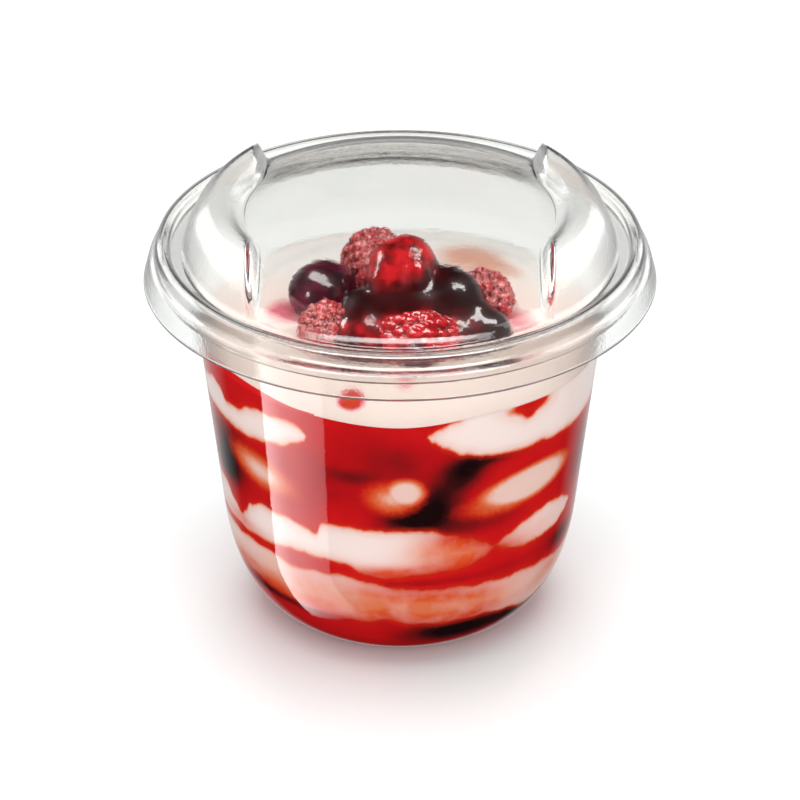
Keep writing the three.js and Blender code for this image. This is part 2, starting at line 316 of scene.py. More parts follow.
cut_wing_ends(lid)
lift_wings(lid)
lid = settle(lid, "clear_lid")
add_numbers(lid, "rippled_share", rippled_share(lid))

# %% [markdown]
# The filling is pressed against the clear wall, so its side is as smooth as the wall. It reaches a
# little way into the plastic, as wet food does, or a dull film of air would show between the two.
# Its fine rows carry the swirl as numbers on the points: how deep each lies in cream or in sauce.

# %% Model the filling
WETTING = 0.2
FILL_STEPS = 360
FILL_TOP = 59.0
FILL_RISE = 45
FILL_ROW = 0.4
FILL_EDGE = {-120: 59.8, -55: 60.2, -28: 59.4, 0: 58.6, 25: 59.6, 60: 58.8, 120: 60, 180: 59.2}


def edge_height(edge, azimuth):
    """Height of an edge that runs round the cup, smooth between the azimuths that it names."""
    pairs = sorted(edge.items())
    pairs = [(pairs[-1][0] - 360, pairs[-1][1]), *pairs, (pairs[0][0] + 360, pairs[0][1])]
    turns = np.array([p[0] for p in pairs], float)
    heights = np.array([p[1] for p in pairs], float)
    place = np.clip(np.searchsorted(turns, azimuth, side="right") - 1, 0, len(turns) - 2)
    share = (azimuth - turns[place]) / (turns[place + 1] - turns[place])
    return heights[place] + (heights[place + 1] - heights[place]) * eased(share)


def azimuth_of(points):
    """Degrees round the cup from the front, growing towards +X."""
    return np.degrees(np.arctan2(points[:, 0], -points[:, 1]))


def filling_section():
    inset = CUP_WALL - WETTING
    floor = CUP_FLOOR - WETTING
    heel = smooth_line(heel_line(inset, floor, 12), FILL_ROW)
    wall_rows = np.arange(HEEL_HEIGHT + FILL_ROW, FILL_TOP, FILL_ROW)
    wall = [(wall_radius(z, inset), z) for z in wall_rows]
    top = [(wall_radius(FILL_TOP, inset) * share, FILL_TOP) for share in (1, 0.96, 0.85, 0.6, 0.3, 0)]
    return [(0, floor), (10, floor), *heel, *wall, *top]


def make_filling():
    """A turned solid whose top edge follows the wavy line where the cream leaves the wall."""
    piece = spin_section(filling_section(), FILL_STEPS)
    points = points_of(piece)
    lift = edge_height(FILL_EDGE, azimuth_of(points)) - FILL_TOP
    share = np.clip((points[:, 2] - FILL_RISE) / (FILL_TOP - FILL_RISE), 0, 1) ** 2
    flare = 1 + WALL_FLARE * lift * share / np.maximum(radius_of(points), 1)
    points[:, 0] *= flare
    points[:, 1] *= flare
    points[:, 2] += lift * share
    move_points(piece, points)
    return settle(piece, "swirled_filling")


filling = make_filling()

# %% [markdown]
# The swirl is drawn in real sizes on the unrolled wall: degrees round the cup and millimetres up.
# Bands of cream run between a lower and an upper edge, and folds are soft ovals. Each point learns
# how far it lies inside the nearest cream edge, so that the shader can draw the edge as sharp as the
# real one, however far apart the points are. Soft patches say where the sauce is deep and dark, and
# where the cream is stained.

# %% Work out the swirl
# Each edge gives heights in millimetres by degrees round the cup
LOWER_BAND_LOW = {
    -120: 11.5, -80: 12.5, -58: 13.5, -30: 12.4, -12: 11.3, -4: 12.4, 3: 11, 12: 10.6, 28: 10.9,
    40: 9.6, 52: 8.2, 75: 10, 120: 12, 180: 14,
}
LOWER_BAND_HIGH = {
    -120: 20.5, -75: 22.6, -48: 23, -35: 21.8, -26: 22.5, -18: 23.4, -10: 22, 0: 20.6, 14: 20, 32: 19.4,
    50: 18.6, 66: 17.2, 90: 19, 110: 21, 180: 23,
}
MIDDLE_BAND_LOW = {
    -120: 23.5, -75: 24, -50: 24.2, -36: 25.6, -24: 25.7, -17: 25.3, -12: 23.8, -5: 23.2, 6: 23.6,
    15: 24.2, 22: 24.6, 27: 25.6, 31: 27.6, 33: 60, 70: 60, 74: 30, 110: 26, 180: 25.2,
}
MIDDLE_BAND_HIGH = {
    -120: 33, -84: 32.4, -70: 32, -64: 29.5, -60: 27.6, -56.5: 29.4, -54: 31.6, -46: 33.8, -38: 33.6,
    -30: 32.2, -26.5: 31.6, -24.5: 34.4, -17: 34.9, -8: 34.6, 2: 34.9, 9: 34.4, 15: 32.6, 22: 31.2,
    27: 29.4, 31: 27.8, 33: 10, 70: 10, 74: 29, 120: 34, 180: 31,
}
RIGHT_TONGUE_LOW = {
    -179: 60, 28: 60, 31: 27.9, 34: 26.4, 39: 25.4, 46: 24.9, 53: 24.6, 59: 25, 64: 26.2, 68: 28.4,
    71: 60, 179: 60,
}
RIGHT_TONGUE_HIGH = {
    -179: 10, 28: 10, 31: 28.1, 35: 29.4, 41: 31, 48: 32, 54: 32.4, 60: 31.6, 65: 29.8, 68: 28.6,
    71: 10, 179: 10,
}
LEFT_LOBE_LOW = {
    -179: 52, -150: 51.5, -120: 50, -82: 49.2, -68: 48.5, -52: 48.3, -44: 49, -36: 49.8, -31: 51.2,
    -28: 52.6, -27: 54, -25: 60, 20: 66, 179: 52,
}
LEFT_LOBE_HIGH = {
    -179: 66, -130: 66, -112: 56.5, -90: 53.2, -78: 54.4, -68: 56.5, -63: 55.6, -60.5: 53.4, -54: 54,
    -48: 55.8, -42: 56.4, -34: 56.8, -30: 56.2, -27.6: 55, -26: 52, -24: 46, 20: 40, 40: 66, 179: 66,
}
RIGHT_LOBE_LOW = {
    -179: 52, -60: 66, 3: 66, 7: 57, 9: 55, 13: 53.2, 18: 51.3, 24: 50, 31: 49, 37: 48.6, 44: 48.7,
    52: 47.9, 62: 47.5, 72: 48, 90: 50, 120: 51, 150: 52, 179: 52,
}
RIGHT_LOBE_HIGH = {-179: 66, -60: 40, 0: 50, 6: 54, 8: 56.6, 11: 58, 15: 59.2, 22: 61, 60: 66, 179: 66}
# Spots of sauce that lie over the cream: azimuth, height, half width in degrees, half height
SAUCE_SPOTS = [(39.5, 58.6, 5.5, 1.5), (38.6, 57.2, 2.2, 1.2), (-88, 56, 4, 1.2)]
# Azimuth, height, half width in degrees, half height, slant in millimetres, softness in millimetres
FOLDS = [
    (1.5, 43.5, 5.2, 2.9, 0, 2.7),
    (-2.5, 42.2, 4.4, 2, 0, 7),
    (42, 40.1, 17, 3.7, 0.4, 2.5),
    (36, 38.6, 9, 1.8, 0.3, 6),
    (-46, 41.6, 9, 2.6, -0.8, 6),
    (-150, 41, 26, 3.8, 1, 1.8),
    (104, 40, 22, 3.4, -0.8, 2.2),
    (160, 43, 15, 3.2, 0.5, 1.8),
]
# Azimuth, height, half width in degrees, half height, strength
DARK_PATCHES = [
    (-63, 41, 12, 6.5, 0.85), (4.5, 37.6, 9, 3, 1.3), (10, 41.5, 4, 4.2, 0.5), (19, 47.6, 6.5, 3.6, 0.85),
    (29, 49.2, 9, 1.6, 0.6), (-4, 51, 17, 5, 0.36), (-14, 46.6, 8, 1.8, 0.35), (16, 42.5, 6, 4.5, 0.45),
    (22, 34.5, 16, 2.6, 0.5), (-20, 42, 12, 5, 0.2), (22, 8, 18, 2.9, 1.2), (50, 7.5, 12, 3, 0.7),
    (-42, 12, 26, 1.3, 0.75), (-30, 17.5, 8, 0.8, 0.2), (74, 38, 10, 9, 0.5), (64, 21, 10, 3, 0.55),
    (10, 21.8, 30, 0.9, 0.3), (-70, 36, 12, 3, 0.5), (130, 44, 14, 4, 0.9), (-170, 36, 20, 3, 1),
    (-100, 44, 12, 4, 0.5), (150, 10, 24, 3, 0.9), (180, 50, 14, 3, 0.6),
]
STAIN_PATCHES = [
    (17, 28.6, 12, 5, 1.5), (30, 26, 12, 2.4, 1), (-2, 24.4, 16, 1.6, 0.9), (-6, 16, 38, 6, 1.1),
    (12, 13.5, 28, 4, 1), (-44, 15, 20, 3.5, 0.9), (-70, 15, 20, 3, 0.8), (62, 14, 16, 3.5, 0.7),
    (-100, 17, 16, 4, 0.6), (120, 15, 30, 5, 0.9), (180, 17, 30, 4, 1), (-130, 28, 20, 3, 0.8),
    (95, 29, 14, 3, 0.7), (-60, 26, 12, 1.6, 0.6), (48, 28, 14, 2.2, 0.3),
]
PALE_PATCHES = [(47, 14.8, 10, 2, 0.9), (-48, 19, 11, 2.4, 0.7), (-18, 18, 8, 2, 0.4)]
# Depths are kept up to this many millimetres on both sides of an edge
EDGE_REACH = 4.0


def band_depth(azimuth, height, low, high):
    """How far a point lies inside a band, negative outside it."""
    return np.minimum(height - edge_height(low, azimuth), edge_height(high, azimuth) - height)


def oval_distance(azimuth, height, oval, slant=0):
    """How far points lie from the middle of an oval, as a share of its half sizes."""
    centre, level, half_turn, half_height = oval
    turn = ((azimuth - centre + 180) % 360 - 180) / half_turn
    return np.hypot(turn, (height - level - slant * turn) / half_height)


def patch_sum(azimuth, height, patches):
    """Soft round patches added up, from 0 where there is none."""
    return sum(s * np.exp(-(oval_distance(azimuth, height, oval) ** 2)) for *oval, s in patches)


def spot_depth(azimuth, height):
    """How far points lie inside a spot of sauce, negative outside it."""
    return np.max([(1 - oval_distance(azimuth, height, spot)) * spot[3] for spot in SAUCE_SPOTS], axis=0)


def fold_share(azimuth, height):
    """How much cream shows in the soft folds behind the sauce, from 0 to 1."""
    best = np.zeros(len(azimuth))
    for *oval, slant, softness in FOLDS:
        inside = (1 - oval_distance(azimuth, height, oval, slant)) * oval[3]
        best = np.maximum(best, np.clip(inside / softness + 0.45, 0, 1))
    return best


def paint_swirl(piece):
    points = points_of(piece)
    azimuth, height = azimuth_of(points), points[:, 2]
    bands = (
        (LOWER_BAND_LOW, LOWER_BAND_HIGH),
        (MIDDLE_BAND_LOW, MIDDLE_BAND_HIGH),
        (RIGHT_TONGUE_LOW, RIGHT_TONGUE_HIGH),
        (LEFT_LOBE_LOW, LEFT_LOBE_HIGH),
        (RIGHT_LOBE_LOW, RIGHT_LOBE_HIGH),
    )
    depth = np.max([band_depth(azimuth, height, low, high) for low, high in bands], axis=0)
    depth = np.minimum(depth, -spot_depth(azimuth, height))
    add_numbers(piece, "cream_depth", np.clip(depth, -EDGE_REACH, EDGE_REACH))
    add_numbers(piece, "fold_share", fold_share(azimuth, height))
    for name, patches, most in (
        ("dark_share", DARK_PATCHES, 1.3),
        ("stain_share", STAIN_PATCHES, 1),
        ("pale_share", PALE_PATCHES, 1),
    ):
        add_numbers(piece, name, np.clip(patch_sum(azimuth, height, patches), 0, most))
    print("cream shows on", round(float((depth > 0).mean()), 2), "of the points")


paint_swirl(filling)

# %% [markdown]
# Above the wall's wet line the cream rises in a soft mound under the fruit. It is a lens: its rim
# thins out to nothing at the wall, and folds left by the filling nozzle run round it.

# %% Model the cream's surface
CREAM_LEVEL = 59.4
CREAM_RISE = 4.0
CREAM_DEPTH = 1.2
FOLD_HEIGHT = 0.35
CREAM_RADIUS = 38
CREAM_RINGS = 60
CREAM_STEPS = 240


def smooth_share(value, low, high):
    return eased(np.clip((value - low) / (high - low), 0, 1))


def cream_height(share, azimuth):
    """Height of the cream's surface at a share of the radius."""
    edge = edge_height(FILL_EDGE, azimuth)
    inwards = 1 - share
    mound = CREAM_RISE * smooth_share(inwards, 0, 0.42)
    ripple = np.sin(np.radians(3 * azimuth + 40)) * share * inwards * 2
    spiral = np.sin(share * 22 + np.radians(azimuth))
    folds = FOLD_HEIGHT * spiral * share * smooth_share(inwards, 0.02, 0.3)
    return edge + (CREAM_LEVEL - edge) * (1 - share) + mound + ripple + folds


def make_cream_surface():
    shares = np.linspace(0, 1, CREAM_RINGS)
    under = [(s * CREAM_RADIUS, -1) for s in shares]
    over = [(s * CREAM_RADIUS, 0) for s in shares[::-1][1:]]
    piece = spin_section([*under, *over], CREAM_STEPS)
    points = points_of(piece)
    share = radius_of(points) / CREAM_RADIUS
    azimuth = azimuth_of(points)
    below = CREAM_DEPTH * (1 - share**6) * -points[:, 2]
    height = cream_height(share, azimuth)
    radius = share * wall_radius(height, CUP_WALL - WETTING)
    turn = np.radians(azimuth)
    points = np.column_stack((radius * np.sin(turn), -radius * np.cos(turn), height - below))
    move_points(piece, points)
    return settle(piece, "cream_surface")


# Centre, reach and strength of each stain of juice, and of each place where peach cream shows
JUICE_STAINS = [
    ((-21.6, -3), 5, 0.72), ((22.6, -4.6), 4, 0.66), ((-9, -30.8), 2.6, 1.5), ((1, -27), 2.2, 0.7),
    ((-3, 16.5), 3, 0.5),
]
PEACH_STAINS = [((14, 19), 6.5, 0.9), ((20, 14), 4, 0.6)]


def stain_sum(points, stains):
    """Round stains added up, from 0 where there is none."""
    away = [np.linalg.norm(points - centre, axis=1) / reach for centre, reach, strength in stains]
    return sum(stain[2] * np.exp(-(share**4)) for stain, share in zip(stains, away))


cream = make_cream_surface()
seen_from_above = points_of(cream)[:, :2]
add_numbers(cream, "juice_share", np.clip(stain_sum(seen_from_above, JUICE_STAINS), 0, 1))
# Painted highlight: the back of the cream is marked to be painted lighter, as if lit from behind.
add_numbers(cream, "painted_backlight_share", smooth_share(seen_from_above[:, 1], 2, 20))
add_numbers(cream, "peach_share", np.clip(stain_sum(seen_from_above, PEACH_STAINS), 0, 0.85))

# %% [markdown]
# A raspberry is a cluster of small beads round a core. One is modelled: beads are copied over a ball,
# joined, and remeshed into one skin with crisp valleys. Each berry of the heap is then a copy with
# its own mesh, turned, stretched and dented a little, because no two are alike.

# %% Model one raspberry
BEAD_COUNT = 118
BEAD_RADIUS = 1.4
CORE_RADIUS = 6.1
BERRY_RADIUS = 7.4
RASPBERRY_VOXEL = 0.22
# How far beads stray, sink or stand out, and how their sizes differ
BEAD_WOBBLE = 0.055
BEAD_REACH = (0.95, 1.03)
BEAD_SIZES = (0.8, 1.12)
SOFTENING = 0.5
rng = np.random.default_rng(7)


def even_directions(count):
    """Directions spread evenly over a ball."""
    for i in range(count):
        up = 1 - (2 * i + 1) / count
        turn = i * pi * (3 - sqrt(5))
        out = sqrt(1 - up * up)
        yield Vector((out * cos(turn), out * sin(turn), up))


def soften(piece, factor, rounds):
    """Evens out the skin by moving each point towards its neighbours."""
    pick(piece)
    softener = piece.modifiers.new("soften", "SMOOTH")
    softener.factor = factor
    softener.iterations = rounds
    bpy.ops.object.modifier_apply(modifier=softener.name)


def remesh(piece, voxel, rounds):
    """Turns joined shapes into one even, softened skin."""
    pick(piece)
    piece.data.remesh_voxel_size = voxel * MM
    bpy.ops.object.voxel_remesh()
    soften(piece, SOFTENING, rounds)
    bpy.ops.object.shade_smooth()
    return piece


def add_ball(radius, subdivisions, place=(0, 0, 0), half=(1, 1, 1)):
    """A ball of a radius in millimetres, stretched to its half sizes."""
    bpy.ops.mesh.primitive_ico_sphere_add(
        subdivisions=subdivisions, radius=radius * MM, location=Vector(place) * MM, scale=half,
    )
    return bpy.context.object


def raspberry_model():
    core = add_ball(CORE_RADIUS, 4)
    bead = add_ball(BEAD_RADIUS, 2)
    parts = [core]
    for direction in even_directions(BEAD_COUNT):
        copy = bead.copy()
        copy.data = bead.data.copy()
        scene.collection.objects.link(copy)
        wobble = Vector(rng.normal(0, BEAD_WOBBLE, 3))
        reach = (BERRY_RADIUS - BEAD_RADIUS) * rng.uniform(*BEAD_REACH)
        copy.location = (direction + wobble).normalized() * reach * MM
        copy.scale = [rng.uniform(*BEAD_SIZES)] * 3
        parts.append(copy)
    bpy.data.objects.remove(bead)
    pick(*parts)
    bpy.ops.object.join()
    berry = remesh(bpy.context.object, RASPBERRY_VOXEL, 1)
    # The height of each point over the core later paints shade into the valleys between beads.
    height = (np.linalg.norm(points_of(berry), axis=1) - CORE_RADIUS) / (BERRY_RADIUS - CORE_RADIUS)
    add_numbers(berry, "bead_height", np.clip(height, 0, 1))
    return berry


raspberry = raspberry_model()
print("raspberry model has", len(raspberry.data.polygons), "faces")

# %% [markdown]
# The heap follows the CAD solids: each berry has the centre and half sizes of its node, with the
# long axis tilted as there. Glazed berries are softened, because the glaze fills their valleys.

# %% Place the raspberries
# Centre, half sizes, tilt of the long axis, spin, and how many rounds of softening the glaze gives
RASPBERRIES = {
    "raspberry_top": ((-1.2, -1.5, 71), (7.4, 7.2, 7.4), 0.1, 0.3, 0),
    "raspberry_back": ((-4.9, 7.6, 68), (7.2, 6.6, 7.2), -0.2, 1.4, 0),
    "raspberry_right": ((16.2, 0, 64.7), (6.4, 6.2, 5.8), 0.6, 2.2, 0),
    "raspberry_left": ((-13.5, -12, 65), (6, 5.8, 5.6), 0.4, 0.9, 0),
    "raspberry_front": ((3.5, -15.5, 64.8), (9, 6.2, 6), 0.0, 2.9, 1),
}
SPIN_AXIS = (0.3, 0.5, 1)
SWELL_SIZE = 6
RASPBERRY_DENT, DARK_BERRY_DENT = 0.06, 0.03
GLAZE_FILL = 0.8


def place_berry(model, centre, half, tilt, turn, dent):
    """A copy of a model with its own mesh, stretched to its half sizes and slightly uneven."""
    piece = model.copy()
    piece.data = model.data.copy()
    scene.collection.objects.link(piece)
    stretch = Matrix.Diagonal((*(size / BERRY_RADIUS for size in half), 1))
    shape = Matrix.Translation(Vector(centre) * MM) @ Matrix.Rotation(tilt, 4, "Y")
    shape = shape @ stretch @ Matrix.Rotation(turn, 4, SPIN_AXIS)
    for vertex in piece.data.vertices:
        swell = noise.noise(vertex.co / (SWELL_SIZE * MM) + Vector((turn, turn, turn))) * dent
        vertex.co = shape @ (vertex.co * (1 + swell))
    piece.data.update()
    return piece


berries = {}
for name, (centre, half, tilt, turn, glaze_rounds) in RASPBERRIES.items():
    berry = place_berry(raspberry, centre, half, tilt, turn, RASPBERRY_DENT)
    if glaze_rounds:
        soften(berry, GLAZE_FILL, glaze_rounds)
    berries[name] = settle(berry, name + "_fruit")
bpy.data.objects.remove(raspberry)

# %% [markdown]
# The dark berries are smooth under their glaze. A ball with a slight dent at its crown and a gentle
# unevenness is enough, because what the eye reads is the shape of the highlights on it.

# %% Model the dark berries
# Centre, half sizes, and a turn that also sets the tilt
DARK_BERRIES = {
    "dark_berry_left": ((-14.4, -1.6, 67), (6.85, 6.4, 6), 0.4),
    "dark_berry_right": ((11, -6.6, 66.4), (5.3, 5.3, 5.2), 1.1),
    "dark_berry_front": ((3.6, -20.4, 63.6), (3.7, 3.5, 3.4), 2.0),
    "dark_berry_back": ((1, 9.8, 64), (5.6, 5.6, 5.3), 2.6),
}
CROWN_DENT, CROWN_WIDTH = 0.06, 0.03


def dark_berry_model():
    piece = add_ball(BERRY_RADIUS, 6)
    points = points_of(piece) / BERRY_RADIUS
    crown = np.exp(-((points[:, 1] - 1) ** 2) / CROWN_WIDTH)
    points *= (BERRY_RADIUS * (1 - CROWN_DENT * crown))[:, None]
    move_points(piece, points)
    pick(piece)
    bpy.ops.object.shade_smooth()
    return piece


dark_berry = dark_berry_model()
for name, (centre, half, turn) in DARK_BERRIES.items():
    berry = place_berry(dark_berry, centre, half, turn * 0.1, turn * 0.3, DARK_BERRY_DENT)
    berries[name] = settle(berry, name + "_fruit")
bpy.data.objects.remove(dark_berry)

# %% [markdown]
# The sauce was poured over the top of the heap. It hangs over the berries like a thick cape, red
# where it is thin and black where it is deep, and it ends in a rounded rim. Balls along its run are
# joined, remeshed and softened, which gives the round shapes that surface tension gives real sauce.

# %% Model the poured sauce
# Centre and half sizes of each ball or flattened ball of sauce
SAUCE_CAPE = [
    ((3, -7, 62.4), (17.6, 14, 7.6)),
    ((2, -8.6, 66.6), (10, 7, 6.6)),
    ((8.8, -5.6, 67), (7.6, 7.8, 7)),
    ((-5.6, -8.6, 65), (7.4, 7.4, 6.8)),
    ((-7.6, -13.2, 64), (6.4, 6.6, 6)),
    ((15, -10.4, 63), (6.8, 6.2, 5.4)),
]
# The same for the glaze on the topmost berry
SAUCE_TOP = [
    ((1.3, -2.6, 71.1), (6.2, 7.3, 7.9)),
    ((-2.1, -3.4, 70.6), (4.9, 7, 7.5)),
    ((2.6, -7.4, 73), (3.2, 3.2, 4)),
    ((-3.4, -7.6, 71.6), (3, 3, 4)),
]
# Runs of the rounded rim: points near the sauce that it passes on its way
SAUCE_RIMS = [
    [(-4.2, 0, 78), (-5.4, -2.6, 76.4), (-6.6, -4.8, 73), (-6.6, -6.8, 69.6), (-6.4, -8.4, 68)],
    [(-6.4, -8.4, 68), (-9.5, -9.6, 68.6), (-12, -12, 68), (-13, -15.2, 66.6), (-13.4, -17.4, 64.6)],
    [(6.6, -1, 75), (8.6, 1.4, 74.4), (11, 1.4, 73), (14, 0, 71), (16.8, -3.4, 68.6), (20, -7.6, 66),
     (22.6, -11.2, 63.6)],
]
# Where the sauce is thin enough to show red: centre, reach and strength
THIN_PLACES = [
    ((-1, -5, 75), 6.8, 1.2), ((3.4, -3.4, 77), 5.8, 1.0), ((-9.4, -16, 66.5), 5, 0.62),
    ((3.5, -19, 67), 8, 0.8), ((-3, -16, 67.5), 4.4, 0.5), ((12.5, -15.6, 67), 4, 0.42),
]
RIM_RADIUS = 0.85
# Rounds of softening: for the cape, for the glaze on the top berry, for both, and for the whole
CAPE_ROUNDS, TOP_ROUNDS, BODY_ROUNDS, SAUCE_ROUNDS = 130, 6, 36, 4
BODY_VOXEL, SAUCE_VOXEL = 0.4, 0.3


def join_skins(pieces, voxel, rounds):
    pick(*pieces)
    bpy.ops.object.join()
    return remesh(bpy.context.object, voxel, rounds)


def join_balls(balls, rounds):
    return join_skins([add_ball(1, 4, centre, half) for centre, half in balls], BODY_VOXEL, rounds)


def rim_points(body):
    """The points of the skin that the rounded rims follow."""
    skin = points_of(body)
    rims = []
    for run in SAUCE_RIMS:
        for point in smooth_line(run, RIM_RADIUS * 0.4)[:-1]:
            rims.append(skin[np.argmin(np.linalg.norm(skin - point, axis=1))])
    return rims


def make_sauce():
    """The cape is softened most, the glaze on the top berry less, and the rims least."""
    parts = [join_balls(SAUCE_CAPE, CAPE_ROUNDS), join_balls(SAUCE_TOP, TOP_ROUNDS)]
    body = join_skins(parts, BODY_VOXEL, BODY_ROUNDS)
    rims = rim_points(body)
    beads = [add_ball(1, 4, point, [RIM_RADIUS] * 3) for point in rims]
    piece = settle(join_skins([body, *beads], SAUCE_VOXEL, SAUCE_ROUNDS), "poured_sauce")
    points = points_of(piece)
    near_rim = np.full(len(points), 9.0)
    for point in rims:
        near_rim = np.minimum(near_rim, np.linalg.norm(points - point, axis=1))
    add_numbers(piece, "thin_share", np.clip(stain_sum(points, THIN_PLACES), 0, 1.2))
    # Painted reflection: points near the rims are marked for a pale lilac sheen in the sauce's colour.
    add_numbers(piece, "rim_sheen_share", np.clip(1.9 - near_rim / RIM_RADIUS, 0, 1))
    return piece


sauce = make_sauce()

# %% [markdown]
# Each finish is a node material. One helper adds a node, one starts a material, and one turns the
# sRGB colours that we read off real things into the linear values that the renderer works with.

# %% Small helpers for materials
# What turns a mix into one of colours
OF_COLOURS = {"output": 2, "data_type": "RGBA"}


def linear(hex_colour):
    """An sRGB hex colour as linear red, green, blue and alpha."""
    channels = [int(hex_colour[i:i + 2], 16) / 255 for i in (1, 3, 5)]
    return (*((c / 12.92 if c <= 0.04045 else ((c + 0.055) / 1.055) ** 2.4) for c in channels), 1)


def add_node(tree, kind, inputs=None, output=0, stops=None, **settings):
    """Adds a node and returns one of its outputs. An input is a value, or the output that feeds it."""
    node = tree.nodes.new("ShaderNode" + kind)
    for key, value in settings.items():
        setattr(node, key, value)
    for key, value in (inputs or {}).items():
        if isinstance(value, bpy.types.NodeSocket):
            tree.links.new(value, node.inputs[key])
        else:
            node.inputs[key].default_value = value
    if stops:
        elements = node.color_ramp.elements
        while len(elements) < len(stops):
            elements.new(0.5)
        for element, (position, colour) in zip(elements, stops):
            element.position = position
            element.color = linear(colour)
    return node.outputs[output] if node.outputs else None


def empty_tree(owner):
    """Empties the nodes of a material, a lamp or the world, and returns what adds a node there."""
    owner.use_nodes = True
    owner.node_tree.nodes.clear()
    return partial(add_node, owner.node_tree)


def new_material(name):
    """A material, what adds nodes to it, and the place in the object that its patterns read."""
    material = bpy.data.materials.new(name)
    add = empty_tree(material)
    return material, add, add("TexCoord", output="Object")


def dress(piece, material):
    piece.data.materials.clear()
    piece.data.materials.append(material)
    print(piece.name, "is", material.name)


# %% [markdown]
# Cup and lid are clear PET sheet, thermoformed. PET bends light more than acrylic, and forming leaves
# the sheet slightly wavy, which is what makes the reflections tremble along the ridges. A shadow ray
# passes straight through, so that the light reaches the food and no false dark shadow falls.

# %% Clear thermoformed PET
PET_IOR = 1.57
SHEET_WAVES = 2.2
SHEET_GRAIN = 0.5
WAVE_HEIGHT, GRAIN_HEIGHT = 0.02, 0.03


def per_metre(length):
    """The scale of a noise whose blotches are this many millimetres across."""
    return 1 / (length * MM)


def clear_sheet():
    material, add, place = new_material("clear PET, thermoformed")
    waves = add("TexNoise", {"Vector": place, "Scale": per_metre(SHEET_WAVES)})
    grain = add("TexNoise", {"Vector": place, "Scale": per_metre(SHEET_GRAIN)})
    rippled = add("Attribute", output="Fac", attribute_name="rippled_share")
    grain_share = add("Math", {0: rippled, 1: 0.6, 2: 0.12}, operation="MULTIPLY_ADD")
    wavy = add("Bump", {"Height": waves, "Strength": 0.5, "Distance": WAVE_HEIGHT * MM})
    grainy = add(
        "Bump",
        {"Height": grain, "Strength": grain_share, "Distance": GRAIN_HEIGHT * MM, "Normal": wavy},
    )
    sheet = add("BsdfPrincipled", {
        "Base Color": linear("#fbfaf8"),
        "Roughness": add("Math", {0: rippled, 1: 0.08, 2: 0.01}, operation="MULTIPLY_ADD"),
        "IOR": PET_IOR,
        "Transmission Weight": 1.0,
        "Normal": grainy,
    })
    clear = add("BsdfTransparent", {"Color": linear("#fafafa")})
    shadow = add("LightPath", output="Is Shadow Ray")
    mixed = add("MixShader", {0: shadow, 1: sheet, 2: clear})
    add("OutputMaterial", {"Surface": mixed})
    return material


pet = clear_sheet()
dress(cup, pet)
dress(lid, pet)

# %% [markdown]
# Behind the wall there is no air, so cream and sauce show their full colour with no gloss of their
# own. Where sauce thins out over cream it turns from deep red to orange, and the cream beside it is
# stained pink. The depths stored on the points are read here, roughened by a fine noise, and turned
# into colour by ramps. Deep sauce swallows light, so it goes to brown and black.

# %% Swirled cream and fruit sauce
SMEARS = 5.0
RAGS = 0.9
CLOUDS = 9.0
SAUCE_BY_DARKNESS = [
    (0.0, "#dc141a"), (0.22, "#c60f18"), (0.45, "#921216"), (0.7, "#4a0e10"), (0.95, "#20060a"),
]
FOLD_COLOURS = [
    (0.1, "#dc2018"), (0.28, "#e2481f"), (0.46, "#ec7e50"), (0.64, "#f4bfaa"), (0.8, "#f8dcd3"),
]
CREAM_BY_DEPTH = [
    (0.5, "#e4401f"), (0.525, "#ee7a50"), (0.57, "#f6c4b2"), (0.63, "#fce4de"), (0.8, "#fff1ed"),
]
STAINED_BY_DEPTH = [
    (0.5, "#d42416"), (0.56, "#e04420"), (0.7, "#ea5a2c"), (0.86, "#ee6e3a"), (1.0, "#f08a60"),
]
THIN_SAUCE = "#e02f17"
PALE_CREAM = "#f6d2c6"


def swirl_depth(add, smears, rags):
    """How deep a point lies in cream, in millimetres. Smears move the edge by up to a millimetre, and
    rags by a quarter of one."""
    stored = add("Attribute", output="Fac", attribute_name="cream_depth")
    smeared = add("Math", {0: smears, 1: 2.0, 2: -1.0}, operation="MULTIPLY_ADD")
    ragged = add("Math", {0: rags, 1: 0.5, 2: -0.25}, operation="MULTIPLY_ADD")
    shift = add("Math", {0: smeared, 1: ragged}, operation="ADD")
    return add("Math", {0: stored, 1: shift}, operation="ADD")


def sauce_colour(add, rags, clouds, depth_share):
    """Red sauce, darker where it is deep, with soft folds of cream behind it."""
    dark = add("Attribute", output="Fac", attribute_name="dark_share")
    cloudy = add("Math", {0: clouds, 1: 0.5, 2: -0.25}, operation="MULTIPLY_ADD")
    dark = add("Math", {0: dark, 1: cloudy}, operation="ADD")
    colour = add("ValToRGB", {"Fac": dark}, stops=SAUCE_BY_DARKNESS)
    fold = add("Attribute", output="Fac", attribute_name="fold_share")
    ragged = add("Math", {0: rags, 1: 0.16, 2: -0.08}, operation="MULTIPLY_ADD")
    fold = add("Math", {0: fold, 1: ragged}, operation="ADD")
    fold_colour = add("ValToRGB", {"Fac": fold}, stops=FOLD_COLOURS)
    shows = add("MapRange", {"Value": fold, "From Min": 0.02, "From Max": 0.3})
    colour = add("Mix", {0: shows, 6: colour, 7: fold_colour}, **OF_COLOURS)
    thin = add("MapRange", {"Value": depth_share, "From Min": 0.36, "From Max": 0.495, "To Max": 0.6})
    return add("Mix", {0: thin, 6: colour, 7: linear(THIN_SAUCE)}, **OF_COLOURS)


